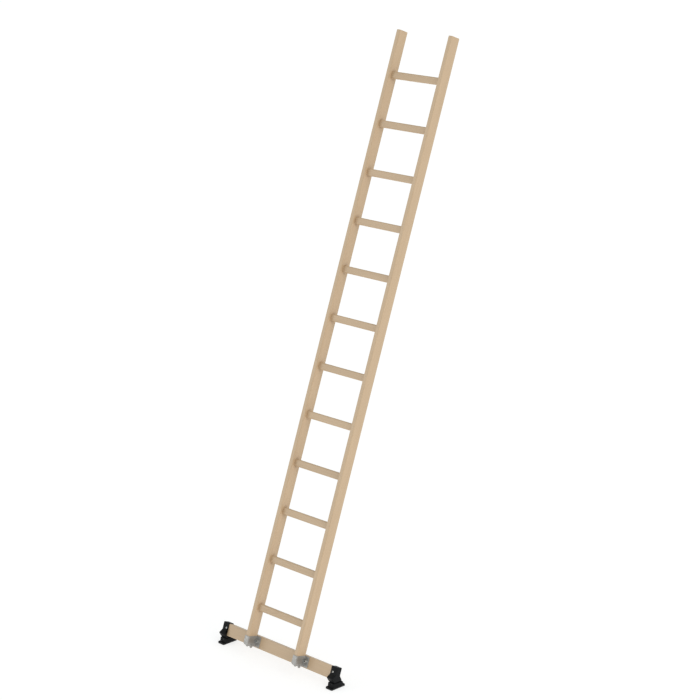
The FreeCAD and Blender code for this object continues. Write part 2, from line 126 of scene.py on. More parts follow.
RUNGS = sorted(n for n in frame["nodes"] if n.startswith("rung_"))
rung_boxes = [ladder_box(n) for n in RUNGS]
RUNG_HEIGHTS = [(low.z + high.z) / 2 for low, high in rung_boxes]
RUNG_SPACING = (RUNG_HEIGHTS[-1] - RUNG_HEIGHTS[0]) / (len(RUNGS) - 1)
RUNG_DEPTH = (rung_boxes[0][0].y + rung_boxes[0][1].y) / 2
INNER_FACE = ladder_box("stile_right")[0].x       # of a stile, from the middle


# ---- Settings --------------------------------------------------------------------------
def colour_setting(name, description, default):
    return FloatVectorProperty(name=name, description=description, subtype="COLOR", size=3,
                               min=0, max=1, default=default)


def length_setting(name, description, default):
    return FloatProperty(name=name, description=description, subtype="DISTANCE",
                         unit="LENGTH", default=default)


class TimberSettings(bpy.types.PropertyGroup):
    early_wood: colour_setting(
        "Early wood", "Pale wood between the growth rings' dark lines", (0.640, 0.470, 0.302))
    late_wood: colour_setting(
        "Late wood", "Darker lines of the growth rings", (0.520, 0.358, 0.212))
    # Painted shade: this tint darkens the stiles' inner faces round each rung's joint, where shade
    # falls between the parts.
    joint_shade_tint: colour_setting(
        "Joint tint", "Wood darkened by glue and lacquer round each rung's joint",
        (0.400, 0.270, 0.160))
    ring_width: length_setting("Ring width", "Distance from one growth ring to the next", 0.0034)
    lacquer: FloatProperty(
        name="Lacquer", description="Strength of the clear lacquer's gloss",
        subtype="FACTOR", min=0, max=1, default=0.22)
    roughness: FloatProperty(
        name="Roughness", description="Roughness of the planed wood under the lacquer",
        subtype="FACTOR", min=0, max=1, default=0.46)


class MetalSettings(bpy.types.PropertyGroup):
    galvanised: colour_setting(
        "Galvanised steel", "Colour of the brackets' zinc coat", (0.440, 0.428, 0.408))
    plated: colour_setting(
        "Plated steel", "Colour of the bolts' bright zinc plate", (0.640, 0.640, 0.640))
    spangle: length_setting("Spangle", "Width of the zinc crystals on the brackets", 0.006)
    fold_softness: length_setting("Edge softness", "Rounding of the sheet's cut edges", 0.0005)
    knurl_ridges: IntProperty(
        name="Knurl ridges", description="Ridges round each socket head",
        min=12, max=72, default=40)
    thread_pitch: length_setting("Thread pitch", "Thread pitch of the bracket bolts", 0.0015)
    clocking_seed: IntProperty(
        name="Clocking seed", description="Seed for how far round each bolt and nut is turned",
        default=7)


class PlasticSettings(bpy.types.PropertyGroup):
    nylon: colour_setting(
        "Black nylon", "Colour of the shoes and their holders", (0.0058, 0.0060, 0.0067))
    rubber: colour_setting("Rubber", "Colour of the soles", (0.0380, 0.0370, 0.0360))
    moulded_edge: length_setting("Moulded edge", "Rounding of the moulded parts' edges", 0.0009)
    rubber_edge: length_setting("Rubber edge", "Rounding of the soles' edges", 0.0005)


class StageSettings(bpy.types.PropertyGroup):
    floor_colour: colour_setting("Floor", "Colour of the plain floor", (0.46, 0.46, 0.46))
    floor_lift: FloatProperty(
        name="Floor lift", description="Light that the floor adds of its own, to keep it white",
        default=0.665)
    floor_size: length_setting("Floor size", "Length of the floor's side", 240.0)
    surround: FloatProperty(
        name="Surround", description="Strength of the even light from all round", default=0.672)
    azimuth: FloatProperty(
        name="Azimuth",
        description="Camera's bearing, from the climber's side towards the right stile",
        subtype="ANGLE", default=math.radians(45.04))
    elevation: FloatProperty(
        name="Elevation", description="How far the camera looks down",
        subtype="ANGLE", default=math.radians(15.53))
    distance: length_setting("Distance", "From the camera to its aim", 12.0227)
    lens: FloatProperty(
        name="Lens", description="Focal length for a 36 mm wide sensor", default=111.034)
    aim: FloatVectorProperty(
        name="Aim", description="Point that the camera looks at",
        subtype="XYZ", unit="LENGTH", size=3, default=(-0.01082, 0.56396, 1.70990))


# ---- Shader building -------------------------------------------------------------------
class Recipe:
    """A material's nodes, added one line at a time."""

    def __init__(self, name):
        self.material = bpy.data.materials.new(name)
        self.material.use_nodes = True
        self.tree = self.material.node_tree
        self.tree.nodes.clear()
        self.output = self.tree.nodes.new("ShaderNodeOutputMaterial")
        self.surface = self.tree.nodes.new("ShaderNodeBsdfPrincipled")
        self.tree.links.new(self.surface.outputs[0], self.output.inputs["Surface"])
        self.place = self.tree.nodes.new("ShaderNodeTexCoord").outputs["Object"]

    def feed(self, socket, value):
        if isinstance(value, bpy.types.NodeSocket):
            self.tree.links.new(value, socket)
        elif value is not None:
            socket.default_value = value

    def math(self, operation, a, b=None, c=None):
        node = self.tree.nodes.new("ShaderNodeMath")
        node.operation = operation
        for socket, value in zip(node.inputs, (a, b, c)):
            self.feed(socket, value)
        return node.outputs[0]

    def vector(self, operation, a, b=None, scale=None):
        node = self.tree.nodes.new("ShaderNodeVectorMath")
        node.operation = operation
        self.feed(node.inputs[0], a)
        self.feed(node.inputs[1], b)
        if operation == "SCALE":
            node.inputs["Scale"].default_value = scale
        return node.outputs["Value" if operation == "LENGTH" else "Vector"]

    def turned(self, angle):
        """Object coordinates turned about X by an angle."""
        node = self.tree.nodes.new("ShaderNodeMapping")
        self.feed(node.inputs["Vector"], self.place)
        node.inputs["Rotation"].default_value = (angle, 0, 0)
        return node.outputs[0]

    def parts(self, vector):
        node = self.tree.nodes.new("ShaderNodeSeparateXYZ")
        self.feed(node.inputs[0], vector)
        return node.outputs

    def joined(self, x, y, z):
        node = self.tree.nodes.new("ShaderNodeCombineXYZ")
        for socket, value in zip(node.inputs, (x, y, z)):
            self.feed(socket, value)
        return node.outputs[0]

    def noise(self, vector, scale, detail=2.0, rough=0.5, colour=False):
        node = self.tree.nodes.new("ShaderNodeTexNoise")
        self.feed(node.inputs["Vector"], vector)
        node.inputs["Scale"].default_value = scale
        node.inputs["Detail"].default_value = detail
        node.inputs["Roughness"].default_value = rough
        return node.outputs["Color" if colour else "Fac"]

    def cells(self, vector, scale, feature="F1", output="Distance"):
        node = self.tree.nodes.new("ShaderNodeTexVoronoi")
        node.feature = feature
        self.feed(node.inputs["Vector"], vector)
        node.inputs["Scale"].default_value = scale
        return node.outputs[output]

    def dice(self, number):
        node = self.tree.nodes.new("ShaderNodeTexWhiteNoise")
        node.noise_dimensions = "1D"
        self.feed(node.inputs["W"], number)
        return node.outputs["Color"]

    def graded(self, value, low, high, out_low=0.0, out_high=1.0):
        node = self.tree.nodes.new("ShaderNodeMapRange")
        node.interpolation_type = "SMOOTHSTEP"
        for socket, given in zip(node.inputs, (value, low, high, out_low, out_high)):
            self.feed(socket, given)
        return node.outputs[0]

    def ramp(self, value, stops):
        node = self.tree.nodes.new("ShaderNodeValToRGB")
        self.feed(node.inputs[0], value)
        marks = node.color_ramp.elements
        while len(marks) < len(stops):
            marks.new(0.5)
        for mark, (place, level) in zip(marks, stops):
            mark.position = place
            mark.color = (level, level, level, 1)
        return node.outputs[0]

    def blend(self, share, a, b):
        node = self.tree.nodes.new("ShaderNodeMix")
        node.data_type = "RGBA"
        self.feed(node.inputs[0], share)
        for socket, value in ((node.inputs[6], a), (node.inputs[7], b)):
            self.feed(socket, (*value, 1) if isinstance(value, (tuple, list)) else value)
        return node.outputs[2]

    def attribute(self, name):
        node = self.tree.nodes.new("ShaderNodeAttribute")
        node.attribute_name = name
        return node.outputs["Fac"]

    def bump(self, height, distance, strength):
        node = self.tree.nodes.new("ShaderNodeBump")
        node.inputs["Strength"].default_value = strength
        node.inputs["Distance"].default_value = distance
        self.feed(node.inputs["Height"], height)
        return node.outputs[0]

    def finish(self, **sockets):
        for name, value in sockets.items():
            socket = self.surface.inputs[name.replace("_", " ")]
            if isinstance(value, tuple) and len(value) == 3:
                value = (*value, 1)
            self.feed(socket, value)
        return self.material


def toned(base, share):
    """A colour, darker or lighter by one share."""
    return tuple(c * share for c in base)


def tinted(base, tint):
    """A colour with a share of its own for each of red, green and blue."""
    return tuple(c * share for c, share in zip(base, tint))


# ---- Finishes --------------------------------------------------------------------------
# How often each feature of the wood repeats in a metre, across the grain and along it.
RIPPLE = (28.0, 3.0)
FIBRE = (1300.0, 26.0)
STREAK = (210.0, 3.2)
DUCT = (420.0, 34.0)
PATCH = (14.0, 2.1)

# Darkness through one year's growth, from the end of the last ring to the end of this one.
YEAR = ((0.0, 0.30), (0.07, 0.05), (0.45, 0.0), (0.80, 0.55), (0.95, 1.0), (1.0, 0.34))

CROSSBAR_NUMBER = 41.0       # the rungs are numbered from 0 and the stiles are -1 and 1


def board_number(mix, kind, x, height):
    """A number for each piece of wood, which its own grain is drawn from."""
    if kind == "side":
        return mix.math("SIGN", x)
    if kind == "rung":
        above = mix.math("SUBTRACT", height, RUNG_HEIGHTS[0])
        return mix.math("ROUND", mix.math("DIVIDE", above, RUNG_SPACING))
    return CROSSBAR_NUMBER


def drawn_out(mix, board, feature, shift=None):
    """A place on a board, scaled so that a feature runs along the grain."""
    thick, wide, along = board
    across, length = feature
    if shift is None:
        along = mix.math("MULTIPLY", along, length)
    else:
        along = mix.math("MULTIPLY_ADD", along, length, shift)
    return mix.joined(mix.math("MULTIPLY", thick, across), mix.math("MULTIPLY", wide, across),
                      along)


def growth_rings(mix, settings, board, first, second):
    """How much of the late wood's dark line shows. Two draws place the trunk's centre."""
    thick, wide, along = board
    # Slow wander of the trunk's centre along the piece bends the rings into long arches.
    slow = mix.joined(mix.math("MULTIPLY", first, 9.0), mix.math("MULTIPLY", second, 9.0), along)
    wander = mix.vector("SUBTRACT", mix.noise(slow, 1.6, 3.0, 0.5, colour=True), (0.5, 0.5, 0.5))
    wander_x, wander_y, _ = mix.parts(mix.vector("SCALE", wander, scale=0.075))
    centre_x = mix.math("MULTIPLY_ADD", first, 0.06, 0.035)
    centre_y = mix.math("MULTIPLY_ADD", second, -0.05, -0.01)
    ring_x = mix.math("ADD", mix.math("ADD", thick, wander_x), centre_x)
    ring_y = mix.math("ADD", mix.math("ADD", wide, wander_y), centre_y)
    radius = mix.vector("LENGTH", mix.joined(ring_x, ring_y, 0.0))
    ripple = mix.math("MULTIPLY", mix.noise(drawn_out(mix, board, RIPPLE), 1.0, 3.0, 0.55), 1.7)
    phase = mix.math("MULTIPLY_ADD", radius, 1.0 / settings.ring_width, ripple)
    year_drawn = mix.parts(mix.dice(mix.math("FLOOR", phase)))[0]
    year = mix.math("MULTIPLY_ADD", year_drawn, 0.55, 0.45)
    return mix.math("MULTIPLY", mix.ramp(mix.math("FRACT", phase), YEAR), year)


def painted_joint_shade(mix, x, depth, height, patches):
    """Share of painted shade that darkens the stile's inner face round each rung's joint."""
    turn = mix.math("DIVIDE", mix.math("SUBTRACT", height, RUNG_HEIGHTS[0]), RUNG_SPACING)
    off = mix.math("SUBTRACT", turn, mix.math("ROUND", turn))
    near = mix.math("MULTIPLY", off, RUNG_SPACING * 0.8)
    middle = mix.math("MULTIPLY", mix.math("SUBTRACT", depth, RUNG_DEPTH), 1.25)
    reach = mix.vector("LENGTH", mix.joined(near, middle, 0.0))
    reach = mix.math("MULTIPLY_ADD", patches, 0.010, reach)
    joint_shade_share = mix.graded(reach, 0.021, 0.037, 1.0, 0.0)
    inner = mix.math("LESS_THAN", mix.math("ABSOLUTE", x), INNER_FACE + 0.5 * MM)
    return mix.math("MULTIPLY", mix.math("MULTIPLY", joint_shade_share, inner), 0.55)


def lacquered_softwood(name, settings, kind, tone=1.0):
    """Planed softwood with growth rings, fibres and resin ducts under clear lacquer.

    kind is "side" for the stiles, whose grain runs up, and "rung" or "crossbar" for the
    pieces whose grain runs across.
    """
    mix = Recipe(name)
    x, depth, height = mix.parts(mix.turned(LEAN))
    number = board_number(mix, kind, x, height)
    first, second, third = mix.parts(mix.dice(mix.math("MULTIPLY_ADD", number, 3.17, 11.3)))
    thick, wide, along = (x, depth, height) if kind == "side" else (depth, height, x)
    if kind == "side":
        thick = mix.math("SUBTRACT", thick, mix.math("MULTIPLY", number, INNER_FACE))
    if kind == "rung":
        middle = mix.math("MULTIPLY_ADD", number, RUNG_SPACING, RUNG_HEIGHTS[0])
        wide = mix.math("SUBTRACT", wide, middle)
    board = (thick, wide, along)

    late = growth_rings(mix, settings, board, first, second)
    fibres = mix.noise(drawn_out(mix, board, FIBRE), 1.0, 3.0, 0.62)
    shift = mix.math("MULTIPLY", third, 20.0)
    streaks = mix.noise(drawn_out(mix, board, STREAK, shift), 1.0, 4.0, 0.6)
    ducts = mix.graded(mix.cells(drawn_out(mix, board, DUCT), 1.0), 0.05, 0.13, 1.0, 0.0)
    patches = mix.noise(drawn_out(mix, board, PATCH, third), 1.0, 3.0, 0.5)

    early = toned(settings.early_wood, tone)
    dark = toned(settings.late_wood, tone)
    wood = mix.blend(mix.math("MULTIPLY", late, 0.62), early, dark)
    wood = mix.blend(mix.graded(streaks, 0.30, 0.75, 0.0, 0.24), wood, toned(dark, 0.93))
    wood = mix.blend(mix.graded(fibres, 0.25, 0.8, 0.0, 0.16), wood, toned(dark, 0.74))
    wood = mix.blend(mix.math("MULTIPLY", ducts, 0.20), wood, toned(dark, 0.50))

    # Each board has its own level, and a darker one is also a little warmer.
    whole = mix.math("MULTIPLY_ADD", second, 0.075, 0.955)
    level = mix.math("MULTIPLY", whole, mix.math("MULTIPLY_ADD", patches, 0.13, 0.94))
    warmth = mix.joined(level, mix.math("MULTIPLY_ADD", level, 1.05, -0.05),
                        mix.math("MULTIPLY_ADD", level, 1.16, -0.16))
    wood = mix.vector("MULTIPLY", wood, warmth)
    if kind == "side":
        # Painted shade round each rung's joint on the stile's inner face.
        joint_shade_share = painted_joint_shade(mix, x, depth, height, patches)
        wood = mix.blend(joint_shade_share, wood, tuple(settings.joint_shade_tint))

    relief = mix.math("ADD", mix.math("MULTIPLY", late, 0.55), mix.math("MULTIPLY", fibres, 0.45))
    relief = mix.math("SUBTRACT", relief, mix.math("MULTIPLY", ducts, 0.5))
    dull = mix.math("MULTIPLY_ADD", streaks, 0.14, settings.roughness - 0.09)
    dull = mix.math("MULTIPLY_ADD", late, -0.07, dull)
    return mix.finish(Base_Color=wood, Roughness=dull, Normal=mix.bump(relief, 0.25 * MM, 0.35),
                      Specular_IOR_Level=0.42, Coat_Weight=settings.lacquer, Coat_Roughness=0.24,
                      Coat_IOR=1.48)


# Near-black painted shade for the inside of the drive sockets.
SOCKET_SHADE = (0.014, 0.013, 0.012)
NYLON_SCUFF = (0.030, 0.030, 0.032)
NYLON_EDGE = (0.026, 0.027, 0.029)
NYLON_DUST = (0.048, 0.046, 0.043)
FLOOR_DUST = (0.095, 0.088, 0.078)


def galvanised_sheet(settings):
    """Dull zinc with crystals, drips of tone and bare, brighter cut edges."""
    mix = Recipe("galvanised_sheet")
    waver = mix.noise(mix.place, 160.0, 2.0, 0.5, colour=True)
    bent = mix.vector("ADD", mix.place, mix.vector("SCALE", waver, scale=4 * MM))
    tint, turn, _ = mix.parts(mix.cells(bent, 1.0 / settings.spangle, output="Color"))
    border = mix.cells(bent, 1.0 / settings.spangle, "DISTANCE_TO_EDGE")
    cloud = mix.noise(mix.place, 26.0, 4.0, 0.6)
    fine = mix.noise(mix.place, 1900.0, 3.0, 0.6)
    base = tuple(settings.galvanised)
    zinc = mix.blend(mix.math("MULTIPLY", tint, 0.45), base, toned(base, 0.80))
    zinc = mix.blend(mix.graded(cloud, 0.42, 0.72, 0.0, 0.35), zinc, toned(base, 0.84))
    zinc = mix.blend(mix.graded(border, 0.0, 0.05, 0.22, 0.0), zinc, toned(base, 0.66))
    scratch_place = mix.vector("MULTIPLY", mix.place, (900.0, 60.0, 900.0))
    scratch = mix.graded(mix.noise(scratch_place, 1.0, 2.0, 0.5), 0.66, 0.74, 0.0, 0.5)
    zinc = mix.blend(scratch, zinc, toned(base, 1.35))
    edge = mix.math("MULTIPLY", mix.attribute("worn_edge"), mix.graded(cloud, 0.25, 0.6, 0.35, 0.9))
    zinc = mix.blend(edge, zinc, toned(base, 1.45))
    dull = mix.math("MULTIPLY_ADD", turn, 0.14, 0.34)
    dull = mix.math("MULTIPLY_ADD", cloud, 0.16, dull)
    dull = mix.math("MULTIPLY_ADD", scratch, -0.12, dull)
    relief = mix.math("MULTIPLY_ADD", fine, 0.5, mix.math("MULTIPLY", turn, 0.4))
    return mix.finish(Base_Color=zinc, Metallic=0.92, Roughness=dull,
                      Normal=mix.bump(relief, 0.06 * MM, 0.4))


def zinc_plate(settings, name="zinc_plated_steel", shade=1.0):
    """Bright plate with faint warm and blue passivation, turning marks and a little dust."""
    mix = Recipe(name)
    film = mix.noise(mix.place, 95.0, 3.0, 0.6)
    fine = mix.noise(mix.place, 2600.0, 2.0, 0.5)
    base = toned(settings.plated, shade)
    warm = tinted(base, (1.0, 0.97, 0.90))
    blue = tinted(base, (0.93, 0.98, 1.0))
    plate = mix.blend(mix.graded(film, 0.40, 0.62), warm, blue)
    smear = mix.graded(mix.noise(mix.place, 420.0, 3.0, 0.65), 0.55, 0.8, 0.0, 0.45)
    plate = mix.blend(smear, plate, toned(base, 0.62))
    # Painted shade: the drive socket's faces are darkened towards near black.
    plate = mix.blend(mix.attribute("recess"), plate, SOCKET_SHADE)
    dull = mix.math("MULTIPLY_ADD", film, 0.20, 0.17)
    dull = mix.math("MULTIPLY_ADD", smear, 0.3, dull)
    return mix.finish(Base_Color=plate, Metallic=1.0, Roughness=dull,
                      Normal=mix.bump(fine, 0.04 * MM, 0.35))


def black_nylon(settings, name="black_nylon", shade=1.0, gloss=0.0):
    """Moulded black nylon: spark-eroded grain, flow clouds, scuffs and dust on its edges."""
    mix = Recipe(name)
    grain = mix.noise(mix.place, 1500.0, 3.0, 0.6)
    pits = mix.cells(mix.place, 1150.0)
    flow = mix.noise(mix.vector("MULTIPLY", mix.place, (16.0, 34.0, 34.0)), 1.0, 4.0, 0.6)
    height = mix.parts(mix.place)[2]
    base = toned(settings.nylon, shade)
    paint = mix.blend(mix.graded(flow, 0.35, 0.7), base, toned(base, 1.45))
    scuff_place = mix.vector("MULTIPLY", mix.place, (240.0, 900.0, 520.0))
    scuff = mix.graded(mix.noise(scuff_place, 1.0, 4.0, 0.7), 0.60, 0.72, 0.0, 0.55)
    low = mix.graded(height, 4 * MM, 45 * MM, 1.0, 0.15)
    scuff = mix.math("MULTIPLY", scuff, low)
    paint = mix.blend(scuff, paint, NYLON_SCUFF)
    edge = mix.math("MULTIPLY", mix.attribute("worn_edge"), mix.graded(flow, 0.3, 0.65, 0.2, 0.85))
    paint = mix.blend(edge, paint, NYLON_EDGE)
    dust = mix.graded(mix.noise(mix.place, 75.0, 5.0, 0.7), 0.52, 0.85, 0.0, 0.24)
    paint = mix.blend(mix.math("MULTIPLY", dust, low), paint, NYLON_DUST)
    dull = mix.math("MULTIPLY_ADD", flow, 0.20, 0.40 - gloss)
    dull = mix.math("MULTIPLY_ADD", scuff, 0.25, dull)
    relief = mix.math("ADD", mix.math("MULTIPLY", grain, 0.6), mix.math("MULTIPLY", pits, 0.6))
    return mix.finish(Base_Color=paint, Roughness=dull, Normal=mix.bump(relief, 0.12 * MM, 0.45),
                      Specular_IOR_Level=0.12)


def sole_rubber(settings):
    """Matt rubber with a fine grain, chalky bloom and floor dust where it treads."""
    mix = Recipe("sole_rubber")
    grain = mix.noise(mix.place, 1100.0, 4.0, 0.65)
    bloom = mix.noise(mix.place, 48.0, 5.0, 0.65)
    height = mix.parts(mix.place)[2]
    base = tuple(settings.rubber)
    skin = mix.blend(mix.graded(bloom, 0.35, 0.75, 0.0, 0.8), base, toned(base, 1.5))
    trodden = mix.graded(height, 0.0, 1.6 * MM, 1.0, 0.0)
    tread = mix.math("MULTIPLY", trodden, mix.graded(bloom, 0.3, 0.6, 0.3, 0.75))
    skin = mix.blend(tread, skin, FLOOR_DUST)
    edge = mix.math("MULTIPLY", mix.attribute("worn_edge"), 0.4)
    skin = mix.blend(edge, skin, toned(base, 1.9))
    dull = mix.math("MULTIPLY_ADD", bloom, 0.18, 0.70)
    return mix.finish(Base_Color=skin, Roughness=dull, Normal=mix.bump(grain, 0.2 * MM, 0.5),
                      Specular_IOR_Level=0.30)


FINISHES = {}


def finish_called(name):
    """The object's finishes, each made the first time that it is asked for."""
    if name in FINISHES:
        return FINISHES[name]
    scene = bpy.context.scene
    timber, metal, plastic = scene.ladder_timber, scene.ladder_metal, scene.ladder_plastic
    made = {
        "stile_wood": lambda: lacquered_softwood(name, timber, "side"),
        "rung_wood": lambda: lacquered_softwood(name, timber, "rung", 0.97),
        "crossbar_wood": lambda: lacquered_softwood(name, timber, "crossbar", 0.96),
        "galvanised": lambda: galvanised_sheet(metal),
        "zinc_plated": lambda: zinc_plate(metal),
        "pin_steel": lambda: zinc_plate(metal, "pin_steel", 0.62),
        "nylon": lambda: black_nylon(plastic),
        "block_nylon": lambda: black_nylon(plastic, "block_nylon", 1.5, 0.08),
        "rubber": lambda: sole_rubber(plastic),
    }
    FINISHES[name] = made[name]()
    return FINISHES[name]


def dress(obj, finish):
    """Give a piece one finish all over."""
    obj.data.materials.clear()
    obj.data.materials.append(finish_called(finish))


# ---- Mesh building ---------------------------------------------------------------------
FLAT_ANGLE = math.radians(0.6)       # faces that meet at less than this are one flat face
HARD_ANGLE = math.radians(32.0)      # edges sharper than this are rounded off


def new_piece(name, mesh):
    mesh.name = name
    piece = bpy.data.objects.new(name, mesh)
    bpy.context.scene.collection.objects.link(piece)
    return piece


def place_piece(piece, body, nodes):
    """Hand a finished piece to the frame: it stands for those nodes and rides on that body."""
    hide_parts(*nodes)
    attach(piece, body)


def smooth_by_angle(mesh, degrees):
    """Smooth shading, kept crisp where faces meet at more than an angle."""
    mesh.polygons.foreach_set("use_smooth", [True] * len(mesh.polygons))
    mesh.set_sharp_from_angle(angle=math.radians(degrees))


def softened(node, name, body, finish, width):
    """A node's own shape with its hard edges rounded off, and the rounded faces marked."""
    work = merged_copy(node)
    bmesh.ops.dissolve_limit(work, angle_limit=FLAT_ANGLE, verts=work.verts, edges=work.edges)
    mesh = bpy.data.meshes.new(name)
    work.to_mesh(mesh)
    work.free()
    mesh.materials.clear()
    for _ in range(2):
        mesh.materials.append(finish_called(finish))
    for face in mesh.polygons:
        face.material_index = 0
    piece = new_piece(name, mesh)
    bevel = piece.modifiers.new("rounding", "BEVEL")
    bevel.width = width
    bevel.segments = 2
    bevel.limit_method = "ANGLE"
    bevel.angle_limit = HARD_ANGLE
    bevel.material = 1
    bevel.use_clamp_overlap = True
    bevel.miter_outer = "MITER_ARC"
    depsgraph = bpy.context.evaluated_depsgraph_get()
    rounded = bpy.data.meshes.new_from_object(piece.evaluated_get(depsgraph))
    piece.modifiers.clear()
    piece.data = rounded
    marks = rounded.attributes.new("worn_edge", "FLOAT", "FACE")
    marks.data.foreach_set("value", [float(f.material_index == 1) for f in rounded.polygons])
    rounded.polygons.foreach_set("material_index", [0] * len(rounded.polygons))
    dress(piece, finish)
    smooth_by_angle(rounded, 34.0)
    place_piece(piece, body, [node])


def lathe(name, rings, sides, closed=True):
    """A turned mesh about Z. Each ring is a radius, or a function of the angle, and a height."""
    work = bmesh.new()
    rows = []
    for radius, z in rings:
        row = []
        for i in range(sides):
            angle = 2 * math.pi * i / sides
            r = radius(angle) if callable(radius) else radius
            row.append(work.verts.new((r * math.cos(angle), r * math.sin(angle), z)))
        rows.append(row)
    pairs = list(zip(rows, rows[1:]))
    if not closed:
        pairs.append((rows[-1], rows[0]))
    for low, high in pairs:
        for i in range(sides):
            j = (i + 1) % sides
            work.faces.new((low[i], low[j], high[j], high[i]))
    if closed:
        for row, z, turn in ((rows[0], rings[0][1], 1), (rows[-1], rings[-1][1], -1)):
            pole = work.verts.new((0, 0, z))
            for i in range(sides):
                j = (i + 1) % sides
                work.faces.new((pole, row[j], row[i])[::turn])
    bmesh.ops.recalc_face_normals(work, faces=work.faces)
    mesh = bpy.data.meshes.new(name)
    work.to_mesh(mesh)
    work.free()
    smooth_by_angle(mesh, 32.0)
    return mesh


def mark_recess(mesh, radius, top, bottom):
    """Mark the faces inside a drive socket, which a finish paints near black as painted shade."""
    marks = mesh.attributes.new("recess", "FLOAT", "FACE")
    values = []
    for face in mesh.polygons:
        x, y, z = face.center
        values.append(float(math.hypot(x, y) < radius and top < z < bottom))
    marks.data.foreach_set("value", values)


def hexagonal(flats, limit=None):
    """Radius of a hexagon at an angle, cut back to a limit where its corners are chamfered."""
    def radius(angle):
        part = (angle % (math.pi / 3)) - math.pi / 6
        r = flats / 2 / math.cos(part)
        return r if limit is None else min(r, limit)
    return radius


def corner_radius(flats):
    """Radius of a hexagon's corners."""
    return flats / 2 / math.cos(math.pi / 6)


def knurled(radius, ridges, depth):
    def ripple(angle):
        return radius - depth * (0.5 - 0.5 * math.cos(angle * ridges))
    return ripple


def threaded(radius, z, pitch, depth):
    def helix(angle):
        turn = (z / pitch - angle / (2 * math.pi)) % 1.0
        return radius - depth * abs(2 * turn - 1)
    return helix


def thread_rings(radius, start, end, pitch, depth, steps):
    """Rings of a screw thread between two heights."""
    rings = []
    for i in range(steps + 1):
        z = start + (end - start) * i / steps
        rings.append((threaded(radius, z, pitch, depth), z))
    return rings


def dome(radius, rise, z, steps):
    """Rings of a low dome, from its edge at z up to its top, z + rise."""
    ball = (rise ** 2 + radius ** 2) / (2 * rise)
    rings = []
    for i in range(steps):
        r = radius * (1 - i / steps)
        rings.append((r, z + rise - ball + math.sqrt(ball ** 2 - r ** 2)))
    return rings


# ---- Hardware, set out with Geometry Nodes ---------------------------------------------
CLOCKING = math.pi / 18      # bolts and nuts are turned by whole steps of this angle

Fastener = namedtuple("Fastener", "centre front back radius")


def placing_tree(finish):
    """A node tree that stands one master piece on every point, turned at random about its axis."""
    tree = bpy.data.node_groups.new("place_" + finish, "GeometryNodeTree")
    face = tree.interface
    face.new_socket(name="Places", in_out="INPUT", socket_type="NodeSocketGeometry")
    master = face.new_socket(name="Master", in_out="INPUT", socket_type="NodeSocketObject")
    axis = face.new_socket(name="Axis", in_out="INPUT", socket_type="NodeSocketVector")
    step = face.new_socket(name="Turn step", in_out="INPUT", socket_type="NodeSocketFloat")
    seed = face.new_socket(name="Seed", in_out="INPUT", socket_type="NodeSocketInt")
    face.new_socket(name="Pieces", in_out="OUTPUT", socket_type="NodeSocketGeometry")
    add = tree.nodes.new
    link = tree.links.new
    given = add("NodeGroupInput")
    result = add("NodeGroupOutput")
    source = add("GeometryNodeObjectInfo")
    source.transform_space = "ORIGINAL"
    stand = add("GeometryNodeInstanceOnPoints")
    aligned = add("FunctionNodeAlignRotationToVector")
    aligned.axis = "Z"
    draw = add("FunctionNodeRandomValue")
    draw.data_type = "FLOAT"
    whole = add("ShaderNodeMath")
    whole.operation = "SNAP"
    spin = add("ShaderNodeCombineXYZ")
    euler = add("FunctionNodeEulerToRotation")
    turn = add("GeometryNodeRotateInstances")
    real = add("GeometryNodeRealizeInstances")
    paint = add("GeometryNodeSetMaterial")
    paint.inputs["Material"].default_value = finish_called(finish)
    link(given.outputs["Places"], stand.inputs["Points"])
    link(given.outputs["Master"], source.inputs["Object"])
    link(source.outputs["Geometry"], stand.inputs["Instance"])
    link(given.outputs["Axis"], aligned.inputs["Vector"])
    link(aligned.outputs["Rotation"], stand.inputs["Rotation"])
    floats = [s for s in draw.inputs if s.type == "VALUE" and s.enabled]
    floats[0].default_value = 0.0
    floats[1].default_value = 2 * math.pi
    link(given.outputs["Seed"], draw.inputs["Seed"])
    value = next(s for s in draw.outputs if s.type == "VALUE" and s.enabled)
    link(value, whole.inputs[0])
    link(given.outputs["Turn step"], whole.inputs[1])
    link(whole.outputs[0], spin.inputs["Z"])
    link(spin.outputs[0], euler.inputs[0])
    link(stand.outputs["Instances"], turn.inputs["Instances"])
    link(euler.outputs[0], turn.inputs["Rotation"])
    turn.inputs["Local Space"].default_value = True
    link(turn.outputs["Instances"], real.inputs["Geometry"])
    link(real.outputs["Geometry"], paint.inputs["Geometry"])
    link(paint.outputs["Geometry"], result.inputs[0])
    return tree, {"Master": master.identifier, "Axis": axis.identifier,
                  "Turn step": step.identifier, "Seed": seed.identifier}


def set_out(name, mesh, places, axis, finish, turn_step=0.01, seed=1):
    """Copies of one mesh at some places, as one plain mesh."""
    master = new_piece(name + "_master", mesh)
    points = bpy.data.meshes.new(name)
    points.from_pydata([tuple(p) for p in places], [], [])
    piece = new_piece(name, points)
    tree, socket = placing_tree(finish)
    placing = piece.modifiers.new("placing", "NODES")
    placing.node_group = tree
    placing[socket["Master"]] = master
    placing[socket["Axis"]] = tuple(axis)
    placing[socket["Turn step"]] = turn_step
    placing[socket["Seed"]] = seed
    bpy.context.view_layer.update()
    depsgraph = bpy.context.evaluated_depsgraph_get()
    made = bpy.data.meshes.new_from_object(piece.evaluated_get(depsgraph))
    piece.modifiers.clear()
    piece.data = made
    bpy.data.objects.remove(master)
    if len(made.polygons) != len(mesh.polygons) * len(places):
        raise RuntimeError(f"{name}: the placing tree gave {len(made.polygons)} faces")
    dress(piece, finish)
    return piece


def fasteners(node):
    """Centre, ends and greatest radius of each solid, all lying along the ladder's depth."""
    found = []
    for points in separate_solids(node):
        low, high = spans([ladder_point(p) for p in points])
        found.append(Fastener((low + high) / 2, low.y, high.y, (high.x - low.x) / 2))
    return found


